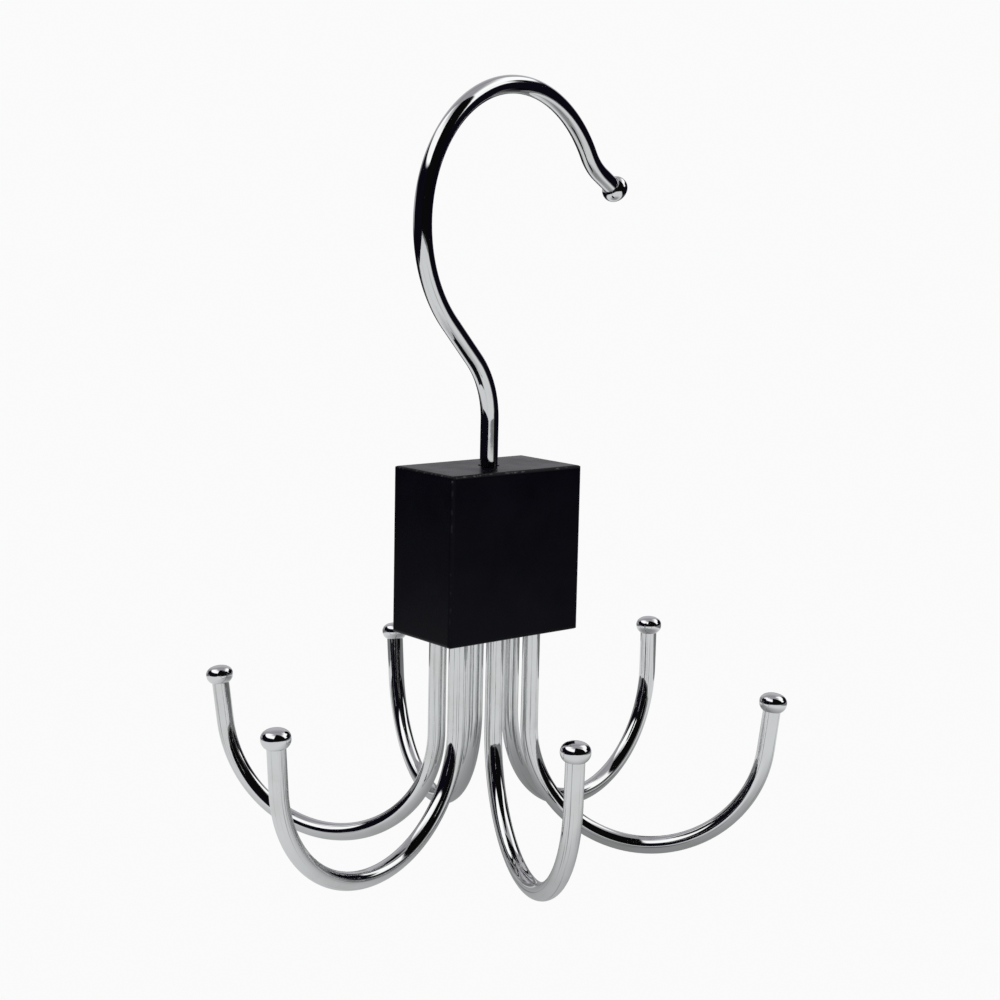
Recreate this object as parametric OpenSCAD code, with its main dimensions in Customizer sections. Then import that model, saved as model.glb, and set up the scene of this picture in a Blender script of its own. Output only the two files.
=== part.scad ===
// Hanging rotary rack: a wire hanger hook that swivels in a lacquered block,
// with six J-shaped wire hooks set into the underside of the block.
// Millimetres. +Z is up and the Z axis is the swivel axis. The origin is the point
// where that axis meets the inside of the crook, which is where a rail bears.

/* [Wire] */
// Diameter of the wire that the hanger hook and the six hooks are bent from
wire_d = 3.2; // [2.8:0.1:3.4]
// Largest diameter of the ball on the end of each wire
tip_d = 5; // [4.6:0.1:5.6]
// Radius of the ball's rounded rim, which is also the height of its crown
tip_round = 1.75; // [1.6:0.05:2]

/* [Hanger hook] */
// Direction of the crook's open side, anticlockwise from +X
crook_bearing = 10; // [0:5:355]
// Radius of the crook, to the middle of the wire
crook_r = 24; // [22:0.5:26]
// How far the middle of the crook stands beside the swivel axis
crook_offset = 5.9; // [4:0.1:8]
// Where the crook ends on its open side, degrees above level
crook_end = 32; // [28:1:40]
// Straight stretch of the shank above the block
neck_rise = 8.1; // [6:0.1:12]
// Radius of the bend from the shank to the slanted neck
neck_r = 15.5; // [12:0.5:18]
// Slant of the neck off the vertical, degrees
neck_slant = 45; // [42:1:48]
// Radius of the outward bend at the end of the crook
lip_r = 10; // [8:0.5:12]
// How far the end of the crook turns outward, degrees
lip_turn = 29; // [20:1:35]
// Straight stretch from that bend to the middle of the end ball
lip_run = 5.3; // [4.5:0.1:7]

/* [Block] */
// Width of the block, along X
block_w = 29.4; // [27:0.1:34]
// Depth of the block, along Y
block_d = 16.9; // [15:0.1:20]
// Height of the block
block_h = 30; // [28:0.5:34]
// Radius of the rounded edges
block_edge = 0.7; // [0.5:0.1:1.2]

/* [Hooks] */
// Distance between the shanks in a row
hook_pitch = 8.5; // [8:0.1:9.5]
// Distance between the two rows of shanks
row_gap = 5.7; // [5.5:0.1:6.5]
// Straight stretch of a shank below the block
leg_run = 17.2; // [14:0.1:22]
// Radius of the hook's bowl, to the middle of the wire
bowl_r = 21.6; // [18:0.1:23]
// How far past its lowest point the bowl goes on, degrees
bowl_end = 86; // [80:1:90]
// Straight stretch from the bowl to the middle of the end ball
tip_run = 8.8; // [6:0.1:12]
// Direction of the first hook, anticlockwise from +X
first_bearing = 11; // [0:1:20]
// How far each hook is turned off its even sixth of a circle, degrees
hook_splay = [-1, 2, -11, 0, -3, 2]; // [-12:1:6]
// How far each hook is seated above its nominal height
hook_lift = [1.0, 1.5, -0.9, 1.0, -0.2, -0.9]; // [-1.5:0.1:1.5]
// How much further than nominal each hook is curled, degrees
hook_curl = [4, -5, -4, 0, 2, -2]; // [-5:1:5]

/* [Swivel] */
// Radial clearance of the shank in the block's bore
swivel_gap = 0.1; // [0.05:0.01:0.1]
// Thickness of the wood above the counterbore, which the washer bears on
ledge_t = 9; // [8:0.5:10]
// Diameter of the counterbore, and of the plug that closes it
counterbore_d = 7.4; // [7:0.1:8]
// Outside diameter of the washer
washer_d = 7; // [6.4:0.1:7]
// Thickness of the washer
washer_t = 0.8; // [0.6:0.1:1]
// Diameter of the head upset on the end of the shank
head_d = 5.4; // [5:0.1:6]
// Height of that head
head_h = 1.4; // [1.2:0.1:1.6]
// Depth of the holes that the six hooks are set in
socket_depth = 13; // [10:0.5:14]

/* [Hidden] */
$fn = 64;

wire_r = wire_d / 2;

// Axial play of the head under the washer, and free room under the head
end_play = 0.15;
head_room = 1;
// Depth and extra radius of the countersink round the bore's mouth
mouth_depth = 0.5;
mouth_flare = 0.25;
// How far the collar between two stretches of wire stands proud of them
lap_proud = 0.02;
// Overshoot of a cutting tool past the face that it opens
past = 1;

// The crook's centre stands where the slanted neck runs into the crook with no kink
neck_run = (crook_r * cos(neck_slant) - crook_offset - neck_r * (1 - cos(neck_slant))) / sin(neck_slant);
crook_z = neck_rise + (neck_r + crook_r) * sin(neck_slant) + neck_run * cos(neck_slant);
// Height of the origin above the top of the block
seat_z = crook_z + sqrt(pow(crook_r - wire_r, 2) - pow(crook_offset, 2));

// Levels under the top of the block
washer_z = -ledge_t - washer_t;
head_z = washer_z - end_play - head_h;
plug_top_z = head_z - head_room;

bore_d = wire_d + 2 * swivel_gap;

// Column and row of each shank, anticlockwise from the one at +X +Y
hook_seats = [[1, 1], [0, 1], [-1, 1], [-1, -1], [0, -1], [1, -1]];
HOOKS = [1, 2, 3, 4, 5, 6];

// Draws its children with the middle of the block's top face as their origin
module on_block_top() {
    translate([0, 0, -seat_z]) children();
}

// Wire bent to an arc in the XZ plane round the origin, from one angle to another.
// A collar at each of the angles in laps joins it to the next stretch of wire.
module wire_arc(radius, from, to, laps) {
    rotate([90, 0, 0]) rotate([0, 0, from])
        rotate_extrude(angle = to - from) translate([radius, 0]) circle(r = wire_r);
    for (lap = laps)
        rotate([0, -lap, 0]) translate([radius, 0, 0]) sphere(r = wire_r + lap_proud);
}

// Straight wire up from the origin
module wire_run(length) {
    cylinder(r = wire_r, h = length);
}

// Ball with a flattened crown. Its equator is at the origin, with the wire below it
// in a blind socket.
module tip() {
    core = tip_d / 2 - tip_round;
    difference() {
        rotate_extrude() intersection() {
            union() {
                translate([core, 0]) circle(r = tip_round);
                translate([0, -tip_round]) square([core, 2 * tip_round]);
            }
            translate([0, -tip_round]) square([tip_d, 2 * tip_round]);
        }
        translate([0, 0, -tip_d]) cylinder(r = wire_r, h = tip_d);
    }
}

// ---- Hanger hook ----

module in_crook_plane() {
    on_block_top() rotate([0, 0, crook_bearing]) children();
}

// Places its children at the end of the crook, with +Z along the wire
module at_lip_end() {
    lip_x = crook_offset + (crook_r + lip_r) * cos(crook_end);
    lip_z = crook_z + (crook_r + lip_r) * sin(crook_end);
    lean = 180 - (crook_end + lip_turn);
    translate([lip_x, 0, lip_z]) rotate([0, lean, 0]) translate([lip_r, 0, 0]) children();
}

module hanger_wire() {
    translate([0, 0, head_z]) wire_run(neck_rise - head_z);
    translate([-neck_r, 0, neck_rise]) {
        wire_arc(neck_r, 0, neck_slant, [0, neck_slant]);
        rotate([0, -neck_slant, 0]) translate([neck_r, 0, 0]) wire_run(neck_run);
    }
    translate([crook_offset, 0, crook_z]) {
        wire_arc(crook_r, crook_end, 180 + neck_slant, [crook_end, 180 + neck_slant]);
        rotate([0, -crook_end, 0]) translate([crook_r + lip_r, 0, 0])
            wire_arc(lip_r, 180, 180 + lip_turn, [180 + lip_turn]);
    }
    at_lip_end() wire_run(lip_run);
}

module hanger_hook() {
    color("silver") in_crook_plane() {
        hanger_wire();
        translate([0, 0, head_z]) cylinder(d = head_d, h = head_h);
    }
}

module hanger_tip() {
    color("silver") in_crook_plane() at_lip_end() translate([0, 0, lip_run]) tip();
}

// ---- Six hooks ----

// Places its children at the mouth of a hook's socket, with +X along the hook
module at_hook(i) {
    seat = hook_seats[i - 1];
    bearing = first_bearing + 60 * (i - 1) + hook_splay[i - 1];
    on_block_top() translate([seat[0] * hook_pitch, seat[1] * row_gap / 2, -block_h])
        rotate([0, 0, bearing]) children();
}

function hook_drop(i) = leg_run - hook_lift[i - 1];
function hook_sweep(i) = 90 + bowl_end + hook_curl[i - 1];

// Places its children at the outer end of a hook's bowl, with +Z along the wire
module at_bowl_end(i) {
    translate([bowl_r, 0, -hook_drop(i)]) rotate([0, 180 - hook_sweep(i), 0])
        translate([bowl_r, 0, 0]) children();
}

module hook(i) {
    color("silver") at_hook(i) {
        translate([0, 0, -hook_drop(i)]) wire_run(hook_drop(i) + socket_depth);
        translate([bowl_r, 0, -hook_drop(i)])
            wire_arc(bowl_r, 180, 180 + hook_sweep(i), [180, 180 + hook_sweep(i)]);
        at_bowl_end(i) wire_run(tip_run);
    }
}

module hook_tip(i) {
    color("silver") at_hook(i) at_bowl_end(i) translate([0, 0, tip_run]) tip();
}

// The six blind holes for the hooks' shanks
module hook_sockets() {
    for (i = HOOKS)
        at_hook(i) translate([0, 0, -past]) cylinder(r = wire_r, h = socket_depth + past);
}

// ---- Block and swivel ----

// Prism along Z, centred on the origin, with its four long edges rounded
module rounded_prism(width, depth, height) {
    inner_w = width - 2 * block_edge;
    inner_d = depth - 2 * block_edge;
    linear_extrude(height, center = true) {
        square([width, inner_d], center = true);
        square([inner_w, depth], center = true);
        for (x = [-inner_w, inner_w] / 2, y = [-inner_d, inner_d] / 2)
            translate([x, y]) circle(r = block_edge);
    }
}

// Rounding all twelve edges takes one prism along each axis
module rounded_block() {
    intersection() {
        rounded_prism(block_w, block_d, block_h);
        rotate([90, 0, 0]) rounded_prism(block_w, block_h, block_d);
        rotate([0, 90, 0]) rounded_prism(block_h, block_d, block_w);
    }
}

module block() {
    color([0.07, 0.07, 0.08]) difference() {
        on_block_top() translate([0, 0, -block_h / 2]) rounded_block();
        on_block_top() {
            translate([0, 0, -block_h]) cylinder(d = bore_d, h = block_h + past);
            translate([0, 0, -mouth_depth])
                cylinder(d1 = bore_d, d2 = bore_d + 2 * mouth_flare, h = mouth_depth);
            translate([0, 0, -block_h - past]) cylinder(d = counterbore_d, h = block_h + past - ledge_t);
        }
        hook_sockets();
    }
}

module swivel_washer() {
    color("gainsboro") on_block_top() translate([0, 0, washer_z]) difference() {
        cylinder(d = washer_d, h = washer_t);
        translate([0, 0, -past]) cylinder(d = bore_d, h = washer_t + 2 * past);
    }
}

module bore_plug() {
    color([0.12, 0.11, 0.1]) difference() {
        on_block_top() translate([0, 0, -block_h]) cylinder(d = counterbore_d, h = block_h + plug_top_z);
        hook_sockets();
    }
}

hanger_hook();
hanger_tip();
block();
swivel_washer();
bore_plug();
for (i = HOOKS) {
    hook(i);
    hook_tip(i);
}
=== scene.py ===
"""Looks for a hanging rotary hook rack: chrome wire hooks with ball ends round a black lacquered block."""

import math
from collections import namedtuple

import bmesh
import bpy
from mathutils import Matrix, Vector


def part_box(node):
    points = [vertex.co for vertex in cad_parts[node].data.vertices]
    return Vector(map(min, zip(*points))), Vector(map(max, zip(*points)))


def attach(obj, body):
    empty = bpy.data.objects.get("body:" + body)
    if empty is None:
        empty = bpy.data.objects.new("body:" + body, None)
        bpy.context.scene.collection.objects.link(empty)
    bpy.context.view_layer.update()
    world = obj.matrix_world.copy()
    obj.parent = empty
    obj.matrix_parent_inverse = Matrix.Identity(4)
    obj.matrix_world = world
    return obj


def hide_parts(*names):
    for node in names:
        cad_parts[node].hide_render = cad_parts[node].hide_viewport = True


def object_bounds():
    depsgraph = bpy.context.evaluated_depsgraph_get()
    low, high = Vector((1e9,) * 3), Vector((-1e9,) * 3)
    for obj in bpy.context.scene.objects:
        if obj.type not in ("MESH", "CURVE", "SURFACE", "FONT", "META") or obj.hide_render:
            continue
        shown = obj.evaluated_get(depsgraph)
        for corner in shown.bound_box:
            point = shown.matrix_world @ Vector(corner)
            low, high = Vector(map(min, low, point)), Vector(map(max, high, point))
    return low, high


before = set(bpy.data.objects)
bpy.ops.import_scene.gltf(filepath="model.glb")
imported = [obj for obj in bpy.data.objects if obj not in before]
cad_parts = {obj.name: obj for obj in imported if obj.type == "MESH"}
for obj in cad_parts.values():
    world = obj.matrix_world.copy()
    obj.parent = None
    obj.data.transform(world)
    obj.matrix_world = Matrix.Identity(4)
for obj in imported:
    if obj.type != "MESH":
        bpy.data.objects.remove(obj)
cad_low, cad_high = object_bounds()

# ---- Sizes in metres, the same as the CAD model's ----

MM = 0.001
WIRE_R = 1.6 * MM
TIP_R = 2.5 * MM
TIP_ROUND = 1.75 * MM

CROOK_BEARING = 10
CROOK_R = 24 * MM
CROOK_OFFSET = 5.9 * MM
CROOK_END = 32
NECK_RISE = 8.1 * MM
NECK_R = 15.5 * MM
NECK_SLANT = 45
LIP_R = 10 * MM
LIP_TURN = 29
LIP_RUN = 5.3 * MM

HOOK_PITCH = 8.5 * MM
ROW_GAP = 5.7 * MM
LEG_RUN = 17.2 * MM
BOWL_R = 21.6 * MM
BOWL_END = 86
TIP_RUN = 8.8 * MM
FIRST_BEARING = 11
# The hooks are bent and set by hand, so each differs a little: bearing, height in mm and bowl sweep
HOOK_SPLAY = (-1, 2, -11, 0, -3, 2)
HOOK_LIFT_MM = (1.0, 1.5, -0.9, 1.0, -0.2, -0.9)
HOOK_CURL = (4, -5, -4, 0, 2, -2)
# Column and row of each shank, anticlockwise from the one at +X +Y
HOOK_SEATS = ((1, 1), (0, 1), (-1, 1), (-1, -1), (0, -1), (1, -1))
HOOK_COUNT = len(HOOK_SEATS)
SOCKET_DEPTH = 13 * MM

HEAD_R = 2.7 * MM
HEAD_H = 1.4 * MM
END_PLAY = 0.15 * MM

block_low, block_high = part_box("block")
washer_low, washer_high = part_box("swivel_washer")
HEAD_TOP = washer_low.z - END_PLAY


# ---- Mesh building ----

# How square the ball's dome is: 1 for an ellipse, less for a flatter top and fuller shoulders
DOME_POWER = 0.86

WIRE_SIDES = 48
LATHE_SIDES = 72
ARC_STEPS = 24
DEGREES_PER_RING = 2
RING_STEP = 0.8 * MM
# Points nearer than this are one point, and a lathe's rings never shrink to less
SAME_POINT = 1e-7
AXIS_R = 1e-9


def straight(x, z, heading, run):
    """Points along a straight stretch, as (x, z, heading, length into the stretch)."""
    lean = math.radians(heading)
    steps = max(1, round(run / RING_STEP))
    parts = [run * k / steps for k in range(1, steps + 1)]
    return [(x + part * math.sin(lean), z + part * math.cos(lean), heading, part) for part in parts]


def bend(x, z, heading, radius, turn):
    """Points along a bend, as (x, z, heading, length into the bend)."""
    side = math.copysign(radius, turn)
    start = math.radians(heading)
    centre_x = x + side * math.cos(start)
    centre_z = z - side * math.sin(start)
    whole = radius * math.radians(abs(turn))
    steps = max(1, round(abs(turn) / DEGREES_PER_RING))
    points = []
    for k in range(1, steps + 1):
        now = heading + turn * k / steps
        a = math.radians(now)
        points.append((centre_x - side * math.cos(a), centre_z + side * math.sin(a), now, whole * k / steps))
    return points


def walk(x, z, heading, moves):
    """Points along a wire in the XZ plane, as (x, z, heading, length so far).

    A heading is in degrees from +Z towards +X. A move is (length,) or (radius, turn), with a
    positive turn towards +X from straight up."""
    samples = [(x, z, heading, 0.0)]
    for move in moves:
        *pose, done = samples[-1]
        stretch = straight if len(move) == 1 else bend
        samples += [(*point, done + part) for *point, part in stretch(*pose, *move)]
    return samples


def ring(centre, across, beyond, radius, sides):
    """Points on a circle round centre, in the plane of the unit vectors across and beyond."""
    angles = [math.tau * k / sides for k in range(sides)]
    return [centre + radius * (math.cos(a) * across + math.sin(a) * beyond) for a in angles]


def mesh_of_rings(name, rings, lengths, capped):
    """A mesh skinned over rings of points, with a UV layer of (turn, length in metres)."""
    sides = len(rings[0])
    points = [p for circle in rings for p in circle]
    faces = []
    uvs = []
    for r in range(len(rings) - 1):
        for k in range(sides):
            nxt = (k + 1) % sides
            a, b = r * sides, (r + 1) * sides
            faces.append((a + k, a + nxt, b + nxt, b + k))
            uvs += [(k / sides, lengths[r]), ((k + 1) / sides, lengths[r]),
                    ((k + 1) / sides, lengths[r + 1]), (k / sides, lengths[r + 1])]
    if capped:
        for first, length in ((0, lengths[0]), (len(points) - sides, lengths[-1])):
            faces.append(tuple(range(first, first + sides)))
            uvs += [(0.5, length)] * sides
    mesh = bpy.data.meshes.new(name)
    mesh.from_pydata([tuple(p) for p in points], [], faces)
    layer = mesh.uv_layers.new(name="wire")
    for loop, uv in zip(layer.data, uvs):
        loop.uv = uv
    return mesh


def finish_mesh(mesh):
    """Merges doubled points, turns the faces outward and shades them smooth."""
    bm = bmesh.new()
    bm.from_mesh(mesh)
    bmesh.ops.remove_doubles(bm, verts=bm.verts, dist=SAME_POINT)
    bmesh.ops.recalc_face_normals(bm, faces=bm.faces)
    bm.to_mesh(mesh)
    bm.free()
    mesh.shade_smooth()


def add_piece(name, mesh, place, body, node, surface):
    """Puts a mesh into the scene in place of a CAD node."""
    finish_mesh(mesh)
    mesh.transform(place)
    piece = bpy.data.objects.new(name, mesh)
    bpy.context.scene.collection.objects.link(piece)
    mesh.materials.append(surface)
    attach(piece, body)
    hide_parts(node)


def wire_mesh(name, samples):
    """A round wire along the samples from walk()."""
    rings = []
    for x, z, heading, _ in samples:
        a = math.radians(heading)
        rings.append(ring(Vector((x, 0, z)), Vector((math.cos(a), 0, -math.sin(a))), Vector((0, 1, 0)),
                          WIRE_R, WIRE_SIDES))
    return mesh_of_rings(name, rings, [length for *_, length in samples], capped=True)


def lathe_mesh(name, profile):
    """A mesh turned round +Z from a profile of (radius, height) that starts and ends on the axis."""
    rings = [ring(Vector((0, 0, z)), Vector((1, 0, 0)), Vector((0, 1, 0)), max(r, AXIS_R), LATHE_SIDES)
             for r, z in profile]
    lengths = [0.0]
    for start, end in zip(profile, profile[1:]):
        lengths.append(lengths[-1] + math.dist(start, end))
    return mesh_of_rings(name, rings, lengths, capped=False)


def arc(centre_r, centre_z, radius, start, end, steps):
    """Profile points on an arc, from start to end in degrees from the outward direction."""
    angles = [math.radians(start + (end - start) * k / steps) for k in range(steps + 1)]
    return [(centre_r + radius * math.cos(a), centre_z + radius * math.sin(a)) for a in angles]


# ---- Where each wire runs ----

def hanger_samples():
    """The hanger's wire, from the head inside the block to the crook's end."""
    slant = math.radians(NECK_SLANT)
    across = CROOK_R * math.cos(slant) - CROOK_OFFSET - NECK_R * (1 - math.cos(slant))
    shank_start = HEAD_TOP - HEAD_H
    return walk(0, shank_start, 0, (
        (block_high.z + NECK_RISE - shank_start,),
        (NECK_R, -NECK_SLANT),
        (across / math.sin(slant),),
        (CROOK_R, 180 + NECK_SLANT - CROOK_END),
        (LIP_R, -LIP_TURN),
        (LIP_RUN,),
    ))


def hook_samples(i):
    """A hook's wire, from the bottom of its socket to its tip."""
    sweep = 90 + BOWL_END + HOOK_CURL[i]
    drop = LEG_RUN - HOOK_LIFT_MM[i] * MM
    return walk(0, SOCKET_DEPTH, 180, ((SOCKET_DEPTH + drop,), (BOWL_R, -sweep), (TIP_RUN,)))


def hook_place(i):
    """Where a hook sits under the block, and which way it points."""
    column, row = HOOK_SEATS[i]
    bearing = math.radians(FIRST_BEARING + 360 / HOOK_COUNT * i + HOOK_SPLAY[i])
    seat = Vector((column * HOOK_PITCH, row * ROW_GAP / 2, block_low.z))
    return Matrix.Translation(seat) @ Matrix.Rotation(bearing, 4, "Z")


def end_of(samples):
    """The place of the ball on the end of a wire: +Z runs on along the wire."""
    x, z, heading, _ = samples[-1]
    return Matrix.Translation((x, 0, z)) @ Matrix.Rotation(math.radians(heading), 4, "Y")


# ---- Materials ----

class Nodes:
    """Short calls for building a material's node tree."""

    def __init__(self, tree):
        self.tree = tree
        tree.nodes.clear()

    def add(self, kind, **settings):
        node = self.tree.nodes.new("ShaderNode" + kind)
        for name, value in settings.items():
            setattr(node, name, value)
        return node

    def feed(self, socket, value):
        if isinstance(value, bpy.types.NodeSocket):
            self.tree.links.new(value, socket)
        else:
            socket.default_value = value

    def math(self, operation, *values):
        node = self.add("Math", operation=operation)
        for socket, value in zip(node.inputs, values):
            self.feed(socket, value)
        return node.outputs[0]

    def vector(self, operation, *values):
        """A vector sum. A length or a dot product comes out as a number."""
        node = self.add("VectorMath", operation=operation)
        for socket, value in zip(node.inputs, values):
            self.feed(socket, value)
        return node.outputs["Value" if operation in ("LENGTH", "DOT_PRODUCT") else "Vector"]

    def parts(self, vector):
        """The X, Y and Z of a vector."""
        node = self.add("SeparateXYZ")
        self.feed(node.inputs[0], vector)
        return node.outputs[:3]

    def smooth(self, value, low, high, to_low=0.0, to_high=1.0):
        """to_low below low and to_high above high, with a smooth step between them."""
        node = self.add("MapRange", interpolation_type="SMOOTHSTEP")
        for name, v in (("Value", value), ("From Min", low), ("From Max", high),
                        ("To Min", to_low), ("To Max", to_high)):
            self.feed(node.inputs[name], v)
        return node.outputs[0]

    def mix(self, factor, a, b):
        node = self.add("Mix", data_type="RGBA")
        self.feed(node.inputs["Factor"], factor)
        self.feed(node.inputs[6], a)
        self.feed(node.inputs[7], b)
        return node.outputs[2]

    def noise(self, vector, scale, detail=3.0, roughness=0.5):
        node = self.add("TexNoise")
        for name, v in (("Vector", vector), ("Scale", scale), ("Detail", detail), ("Roughness", roughness)):
            self.feed(node.inputs[name], v)
        return node.outputs["Fac"]

    def stretch(self, vector, scale):
        return self.vector("MULTIPLY", vector, scale)

    def bump(self, height, distance, strength=1.0, under=None):
        node = self.add("Bump")
        self.feed(node.inputs["Height"], height)
        node.inputs["Distance"].default_value = distance
        node.inputs["Strength"].default_value = strength
        if under is not None:
            self.feed(node.inputs["Normal"], under)
        return node.outputs[0]


def grey(brightness, tint=(1.0, 1.0, 1.0)):
    return (*(brightness * part for part in tint), 1.0)


def material(name):
    made = bpy.data.materials.new(name)
    made.use_nodes = True
    return made, Nodes(made.node_tree)


def shader(n, **inputs):
    """Adds the Principled shader and the output. Input names use _ for a space."""
    bsdf = n.add("BsdfPrincipled")
    out = n.add("OutputMaterial")
    n.tree.links.new(bsdf.outputs[0], out.inputs["Surface"])
    for name, value in inputs.items():
        n.feed(bsdf.inputs[name.replace("_", " ")], value)
    return bsdf


CLEAN_CHROME = grey(0.74, (0.985, 0.995, 1.0))
HAZY_CHROME = grey(0.68, (1.0, 0.995, 0.985))
# A dark colour painted along the wire: a painted reflection of dark lines in the chrome
MIRRORED_DARK_STREAK = grey(0.16, (0.97, 1.0, 1.05))


def chrome(name, drawn):
    """Bright chrome plate: a faint ripple, die lines, and a hazy film in patches.

    Drawn wire has dark lines painted along it as a painted reflection, and clear lines along it. The cast
    balls have more ripple instead."""
    made, n = material(name)
    position = n.add("TexCoord").outputs["Object"]
    along_wire = n.add("UVMap", uv_map="wire").outputs[0]
    film = n.smooth(n.noise(position, scale=140.0, detail=4.0, roughness=0.6), 0.45, 0.75)
    tone = n.mix(film, CLEAN_CHROME, HAZY_CHROME)
    if drawn:
        # Dark lines painted into the wire's colour, standing in for reflections in the chrome
        streak_noise = n.noise(n.stretch(along_wire, (32.0, 24.0, 1.0)), scale=1.0, roughness=0.65)
        painted_reflection_streaks = n.smooth(streak_noise, 0.55, 0.70, to_high=0.9)
        tone = n.mix(painted_reflection_streaks, tone, MIRRORED_DARK_STREAK)
    swell = n.noise(position, scale=260.0 if drawn else 700.0, detail=2.0)
    rippled = n.bump(swell, distance=0.03 * MM, strength=0.5 if drawn else 0.9)
    lines = n.noise(n.stretch(along_wire, (90.0, 160.0, 1.0)), scale=1.0, detail=2.0)
    lined = n.bump(lines, distance=0.004 * MM, strength=0.5 if drawn else 0.15, under=rippled)
    grit = n.noise(position, scale=5200.0, detail=2.0)
    haze = n.math("ADD", n.math("MULTIPLY", film, 0.035), n.math("MULTIPLY", grit, 0.02))
    shader(n, Base_Color=tone, Metallic=1.0, Roughness=n.math("ADD", haze, 0.03), Normal=lined)
    return made


LACQUER_THIN = grey(0.0010, (1.0, 1.0, 2.2))
LACQUER_DEEP = grey(0.0028, (1.0, 1.0, 2.2))
LACQUER_DUST = grey(0.03)
# Worn edges show this colour, and along the top it is also a painted highlight on the rounded edge
BARE_EDGE_AND_SHEEN = grey(0.13, (1.0, 0.98, 0.95))
# The worn colour reaches this far from an edge, and shows most in this band under the block's top, where it
# is also a painted highlight
WEAR_REACH = 0.45 * MM
WEAR_FULL = 0.05 * MM
WEAR_AND_SHEEN_BAND = (1.5 * MM, 0.5 * MM)


def lacquer():
    """Black satin lacquer on wood: it lies thin on the edges, and the grain shows through faintly. The
    lighter edges along the top are partly a painted highlight.
    """
    made, n = material("black_lacquer")
    position = n.add("TexCoord").outputs["Object"]
    mottle = n.noise(position, scale=120.0, detail=4.0, roughness=0.6)
    tone = n.mix(mottle, LACQUER_THIN, LACQUER_DEEP)
    specks = n.smooth(n.noise(position, scale=4200.0, detail=2.0), 0.72, 0.8, to_high=0.12)
    tone = n.mix(specks, tone, LACQUER_DUST)
    chips = n.smooth(n.noise(position, scale=900.0, detail=4.0, roughness=0.7), 0.52, 0.66)
    worn = n.math("MULTIPLY", edge_nearness(n, position), chips)
    # Edges are painted lighter most along the top: partly worn lacquer, partly a painted highlight on the
    # rounded top edge
    start, full = (block_high.z - below for below in WEAR_AND_SHEEN_BAND)
    wear_and_sheen_weight = n.smooth(n.parts(position)[2], start, full, to_low=0.12)
    tone = n.mix(n.math("MULTIPLY", worn, wear_and_sheen_weight), tone, BARE_EDGE_AND_SHEEN)
    rough = n.smooth(mottle, 0.3, 0.7, to_low=0.22, to_high=0.30)
    grain = n.noise(n.stretch(position, (900.0, 900.0, 60.0)), scale=1.0, detail=5.0, roughness=0.6)
    peel = n.noise(position, scale=1500.0, detail=2.0)
    height = n.math("ADD", n.math("MULTIPLY", grain, 0.6), n.math("MULTIPLY", peel, 0.4))
    shader(n, Base_Color=tone, Roughness=rough, Specular_IOR_Level=0.06,
           Normal=n.bump(height, distance=0.02 * MM, strength=0.5))
    return made


def edge_nearness(n, position):
    """1 on the block's edges, falling to 0 where the worn colour ends."""
    middle = (block_low + block_high) / 2
    half = (block_high - block_low) / 2
    size = n.parts(n.vector("ABSOLUTE", n.vector("SUBTRACT", position, middle)))
    x, y, z = (n.math("SUBTRACT", half[k], size[k]) for k in range(3))
    # The middle one of the three distances to a face, which is small only near an edge
    second = n.math("MAXIMUM", n.math("MINIMUM", x, y), n.math("MINIMUM", n.math("MAXIMUM", x, y), z))
    return n.smooth(second, WEAR_FULL, WEAR_REACH, to_low=1.0, to_high=0.0)


def plain_steel():
    """Zinc-plated steel with fine turning marks."""
    made, n = material("washer_steel")
    position = n.add("TexCoord").outputs["Object"]
    marks = n.noise(position, scale=3000.0)
    tone = n.mix(marks, grey(0.42), grey(0.56, (1.0, 0.99, 0.96)))
    rough = n.smooth(marks, 0.3, 0.7, to_low=0.28, to_high=0.45)
    shader(n, Base_Color=tone, Metallic=1.0, Roughness=rough,
           Normal=n.bump(marks, distance=0.01 * MM, strength=0.4))
    return made


# ---- Pieces ----

# A hairline gap parts each ball from its wire: how wide, how deep, and how its lip is rounded
GAP = 0.10 * MM
GAP_DEPTH = 0.5 * MM
GAP_LIP = 0.04 * MM
HEAD_EDGE = 0.5 * MM


def tip_profile():
    """Half outline of an end ball, from its crown down and in to the wire and the gap round it."""
    core = TIP_R - TIP_ROUND
    dome = [math.pi / 2 * (1 - k / ARC_STEPS) for k in range(ARC_STEPS)]
    outline = [(TIP_R * math.cos(a) ** DOME_POWER, TIP_ROUND * math.sin(a) ** DOME_POWER) for a in dome]
    mouth_angle = -math.degrees(math.acos((WIRE_R + GAP - core) / TIP_ROUND))
    outline += arc(core, 0.0, TIP_ROUND, 0, mouth_angle, ARC_STEPS)
    mouth_z = outline[-1][1]
    gap_end = mouth_z + GAP_DEPTH
    inside_wire = 0.9 * WIRE_R
    outline += [(WIRE_R + 0.7 * GAP, mouth_z + GAP_LIP), (WIRE_R + 0.6 * GAP, gap_end)]
    return outline + [(inside_wire, gap_end), (0.0, gap_end)]


def head_profile():
    """Half outline of the head upset on the end of the shank."""
    bottom = HEAD_TOP - HEAD_H
    rounding = arc(HEAD_R - HEAD_EDGE, bottom + HEAD_EDGE, HEAD_EDGE, 0, -90, ARC_STEPS // 3)
    return [(0.0, HEAD_TOP), (HEAD_R, HEAD_TOP)] + rounding + [(0.0, bottom)]


def joined(name, first, second):
    """One mesh from two that belong to the same piece."""
    bm = bmesh.new()
    bm.from_mesh(first)
    bm.from_mesh(second)
    mesh = bpy.data.meshes.new(name)
    bm.to_mesh(mesh)
    bm.free()
    return mesh


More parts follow.
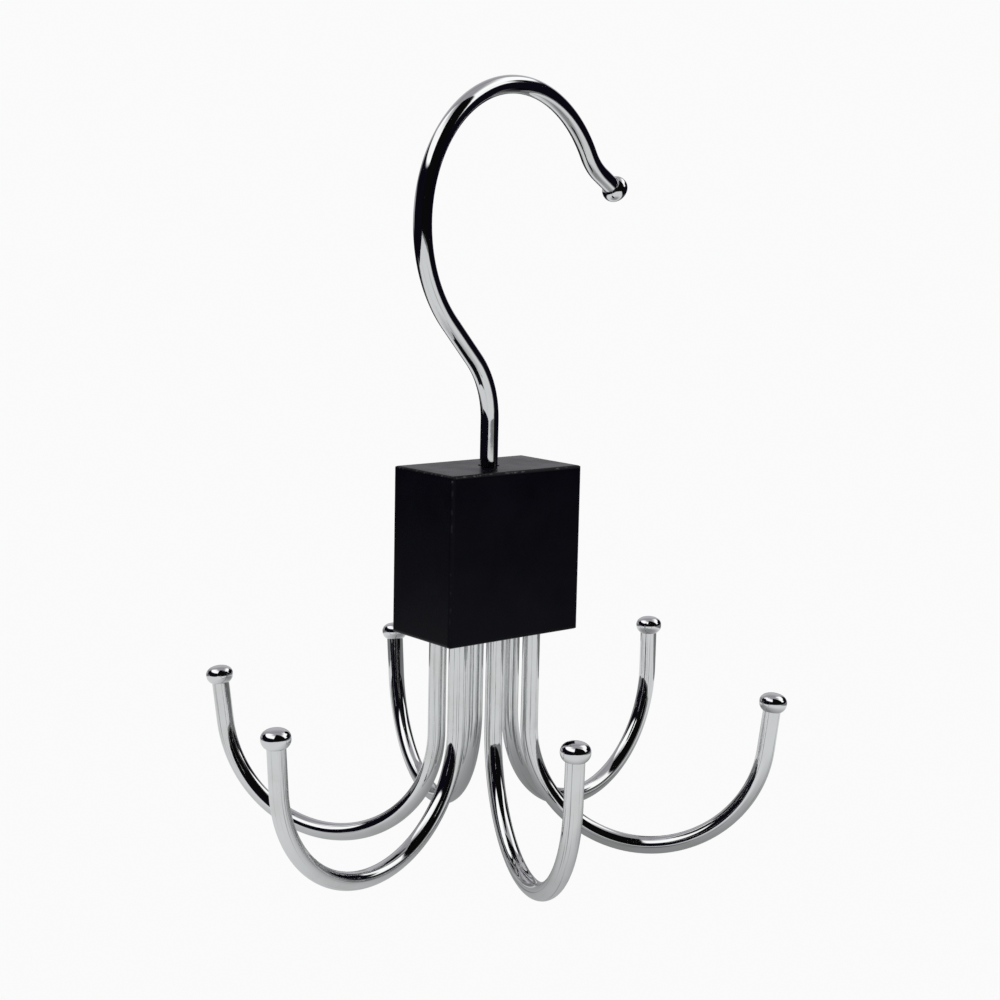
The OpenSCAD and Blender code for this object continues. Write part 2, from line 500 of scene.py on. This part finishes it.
def build_hanger(wire_chrome, ball_chrome):
    """The hanger's wire with its head, and the ball on the crook's end."""
    place = Matrix.Rotation(math.radians(CROOK_BEARING), 4, "Z")
    samples = hanger_samples()
    wire = joined("hanger_wire", wire_mesh("hanger_bare_wire", samples),
                  lathe_mesh("hanger_head", head_profile()))
    add_piece("hanger_wire", wire, place, "hanger", "hanger_hook", wire_chrome)
    add_piece("hanger_ball", lathe_mesh("hanger_ball", tip_profile()), place @ end_of(samples),
              "hanger", "hanger_tip", ball_chrome)


def build_hook(i, wire_chrome, ball_chrome):
    """One hook's wire and its ball."""
    place = hook_place(i)
    samples = hook_samples(i)
    number = str(i + 1)
    add_piece("hook_wire_" + number, wire_mesh("hook_wire_" + number, samples), place,
              "rack", "hook_" + number, wire_chrome)
    add_piece("hook_ball_" + number, lathe_mesh("hook_ball_" + number, tip_profile()),
              place @ end_of(samples), "rack", "hook_tip_" + number, ball_chrome)


def dress_cad_nodes():
    """Gives the CAD nodes that stay in view their materials."""
    black = lacquer()
    steel = plain_steel()
    for node, made in (("block", black), ("bore_plug", black), ("swivel_washer", steel)):
        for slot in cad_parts[node].material_slots:
            slot.material = made


# ---- Studio ----

CAMERA_REACH = 0.3231
CAMERA_BEARING = 39.12
CAMERA_HEIGHT = -0.0204
CAMERA_YAW = 39.5
CAMERA_PITCH = -8.79
CAMERA_ROLL = 1.23
CAMERA_LENS = 66.06
CAMERA_SENSOR = 36.0
CAMERA_NEAR = 0.01
FLOOR_GAP = 0.60
FLOOR_SPAN = 60.0
PALE = 0.96

# The light desk that the chrome mirrors: its corners in plan, how far it lies under the bowls, and its
# brightness in the middle of the rack's own shadow and beyond it
DESK_PLAN = ((-0.62, -0.60), (0.14, -0.60), (0.14, 0.15), (-0.20, 0.15))
DESK_GAP = 1.5 * MM
DESK_SHADED = 0.30
DESK_LIT = 0.80
SHADOW_MIDDLE = (0.030, 0.0, 0.0)
SHADOW_REACH = (0.015, 0.10)
# Its upturned edges, all but the one at -X: height and brightness
RIM_HEIGHT = 30 * MM
RIM_LIGHT = 0.22
# The floor beyond it at +X, which is dark at the front and dim grey at the back
SIDE_PLAN = ((0.14, -0.06), (0.34, -0.06), (0.34, 0.30), (0.14, 0.30))
SIDE_MIDDLE = (0.20, -0.06, 0.0)
SIDE_REACH = (0.03, 0.27)
SIDE_LIGHT = 0.37

DARK_ROOM = (0.0045, 0.0035, 0.008, 1.0)
# What the chrome mirrors of the room: where a panel lies in degrees right of the camera and above level,
# how soft its edges and its top are, and its brightness. Each one is painted over those before it.
Panel = namedtuple("Panel", "left right low high soft soft_top brightness")
# Past the far side, which is at 180, so that no soft edge shows there
ROUND = 200
OVERHEAD = 95
PANELS = (
    # the ceiling, and the wall behind the rack on either side
    Panel(-ROUND, ROUND, 62, OVERHEAD, 4, 4, 0.40),
    Panel(-ROUND, -128, 14, 62, 4, 4, 0.40),
    Panel(150, ROUND, 14, 62, 4, 4, 0.40),
    # brighter low down behind the rack
    Panel(-ROUND, -150, 2, 40, 4, 10, 0.55),
    Panel(-ROUND, -118, -2, 10, 3, 4, 0.50),
    Panel(155, ROUND, 2, 40, 4, 10, 0.55),
    # the dark camera side, up to the ceiling
    Panel(-12, 76, -OVERHEAD, OVERHEAD, 2.5, 2.5, 0.004),
    # the window at the left, then the one at the right with its lower end
    Panel(-128, -12, 38, 72, 2.5, 12, 1.33),
    Panel(78, 150, 33, 60, 2.5, 10, 1.33),
    Panel(79, 101, 19, 36, 2.5, 2.5, 1.33),
)
ROOM_TINT = (1.0, 0.975, 1.04)
WINDOW_TINT = (1.0, 1.0, 1.0)
DESK_TINT = (0.985, 1.0, 1.01)


def add_camera():
    """A camera near the rack, turned a little off it and tilted, at the crook's own height."""
    bearing = math.radians(CAMERA_BEARING)
    yaw, pitch, roll = (math.radians(v) for v in (CAMERA_YAW, CAMERA_PITCH, CAMERA_ROLL))
    ahead = Vector((math.sin(yaw) * math.cos(pitch), math.cos(yaw) * math.cos(pitch), math.sin(pitch)))
    right = ahead.cross(Vector((0, 0, 1))).normalized()
    up = right.cross(ahead)
    tilted_right = right * math.cos(roll) + up * math.sin(roll)
    tilted_up = up * math.cos(roll) - right * math.sin(roll)
    data = bpy.data.cameras.new("camera")
    data.lens = CAMERA_LENS
    data.sensor_width = CAMERA_SENSOR
    data.clip_start = CAMERA_NEAR
    camera = bpy.data.objects.new("camera", data)
    turn = Matrix((tilted_right, tilted_up, -ahead)).transposed()
    spot = Vector((-CAMERA_REACH * math.sin(bearing), -CAMERA_REACH * math.cos(bearing), CAMERA_HEIGHT))
    camera.matrix_world = Matrix.Translation(spot) @ turn.to_4x4()
    bpy.context.scene.collection.objects.link(camera)
    bpy.context.scene.camera = camera


def stage_card(name, corners, surface):
    """One flat card of the stage."""
    mesh = bpy.data.meshes.new(name)
    mesh.from_pydata(corners, [], [(0, 1, 2, 3)])
    mesh.materials.append(surface)
    card = bpy.data.objects.new(name, mesh)
    bpy.context.scene.collection.objects.link(card)
    return card


def level(plan, height):
    """The corners of a plan at one height."""
    return [Vector((x, y, height)) for x, y in plan]


def add_floor():
    """A wide pale floor some way under the hanging rack. The chrome mirrors the desk instead."""
    made, n = material("floor_pale")
    shader(n, Base_Color=grey(PALE), Roughness=0.9, Specular_IOR_Level=0.0)
    half = FLOOR_SPAN / 2
    plan = ((-half, -half), (half, -half), (half, half), (-half, half))
    floor = stage_card("floor", level(plan, cad_low.z - FLOOR_GAP), made)
    floor.visible_glossy = False


def glow(name, near, far, middle, reach):
    """Light for a card: near round its middle, far beyond its reach, whatever the height."""
    made, n = material(name)
    apart = n.vector("SUBTRACT", n.add("TexCoord").outputs["Object"], middle)
    away = n.vector("LENGTH", n.vector("MULTIPLY", apart, (1, 1, 0)))
    light = n.add("Emission")
    n.feed(light.inputs["Color"], grey(1.0, DESK_TINT))
    n.feed(light.inputs["Strength"], n.smooth(away, *reach, near, far))
    out = n.add("OutputMaterial")
    n.tree.links.new(light.outputs[0], out.inputs["Surface"])
    return made


def mirrored_only(card):
    """Lets a card show in the chrome and nowhere else."""
    card.visible_camera = False
    card.visible_diffuse = False
    card.visible_shadow = False


def add_desk():
    """The desk and the floor beside it that the chrome mirrors, as studio cards."""
    height = cad_low.z - DESK_GAP
    corners = level(DESK_PLAN, height)
    desk_glow = glow("desk_card", DESK_SHADED, DESK_LIT, SHADOW_MIDDLE, SHADOW_REACH)
    mirrored_only(stage_card("desk_card", corners, desk_glow))
    side_glow = glow("side_card", 0.0, SIDE_LIGHT, SIDE_MIDDLE, SIDE_REACH)
    mirrored_only(stage_card("side_card", level(SIDE_PLAN, height), side_glow))
    rim_glow = glow("rim_card", RIM_LIGHT, RIM_LIGHT, SHADOW_MIDDLE, SHADOW_REACH)
    up = Vector((0, 0, RIM_HEIGHT))
    for a, b in zip(corners, corners[1:]):
        mirrored_only(stage_card("rim_card", (a, b, b + up, a + up), rim_glow))


def within(n, value, low, high, soft_low, soft_high):
    """1 where value lies between low and high, with soft ends."""
    above = n.smooth(value, low - soft_low, low + soft_low)
    below = n.smooth(value, high - soft_high, high + soft_high, 1.0, 0.0)
    return n.math("MULTIPLY", above, below)


def room_view(n):
    """The room that the chrome mirrors, as a colour for each direction."""
    direction = n.add("TexCoord").outputs["Generated"]
    bearing = math.radians(CAMERA_BEARING)
    rightward = n.vector("DOT_PRODUCT", direction, (math.cos(bearing), -math.sin(bearing), 0))
    cameraward = n.vector("DOT_PRODUCT", direction, (-math.sin(bearing), -math.cos(bearing), 0))
    degrees = math.degrees(1)
    aside = n.math("MULTIPLY", n.math("ARCTAN2", rightward, cameraward), degrees)
    height = n.math("MULTIPLY", n.math("ARCSINE", n.parts(direction)[2]), degrees)
    room = DARK_ROOM
    for panel in PANELS:
        mask = n.math("MULTIPLY", within(n, aside, panel.left, panel.right, panel.soft, panel.soft),
                      within(n, height, panel.low, panel.high, panel.soft, panel.soft_top))
        tint = ROOM_TINT if panel.brightness < 1 else WINDOW_TINT
        room = n.mix(mask, room, grey(panel.brightness, tint))
    return room


def add_light():
    """Even soft light on everything, with the room in the chrome and a pale backdrop behind."""
    world = bpy.data.worlds.new("studio")
    bpy.context.scene.world = world
    world.use_nodes = True
    n = Nodes(world.node_tree)
    rays = n.add("LightPath")
    shown = n.mix(rays.outputs["Is Glossy Ray"], grey(1.0), room_view(n))
    shown = n.mix(rays.outputs["Is Camera Ray"], shown, grey(PALE))
    background = n.add("Background")
    n.feed(background.inputs["Color"], shown)
    out = n.add("OutputWorld")
    n.tree.links.new(background.outputs[0], out.inputs["Surface"])
    # The world depends on the kind of ray, so it isn't sampled as a lamp
    world.cycles.sampling_method = "NONE"


# ---- The scene ----

add_camera()
add_floor()
add_desk()
add_light()

wire_chrome = chrome("chrome_wire", drawn=True)
ball_chrome = chrome("chrome_ball", drawn=False)
build_hanger(wire_chrome, ball_chrome)
for hook in range(HOOK_COUNT):
    build_hook(hook, wire_chrome, ball_chrome)
dress_cad_nodes()
bpy.context.scene.view_settings.view_transform = "Standard"
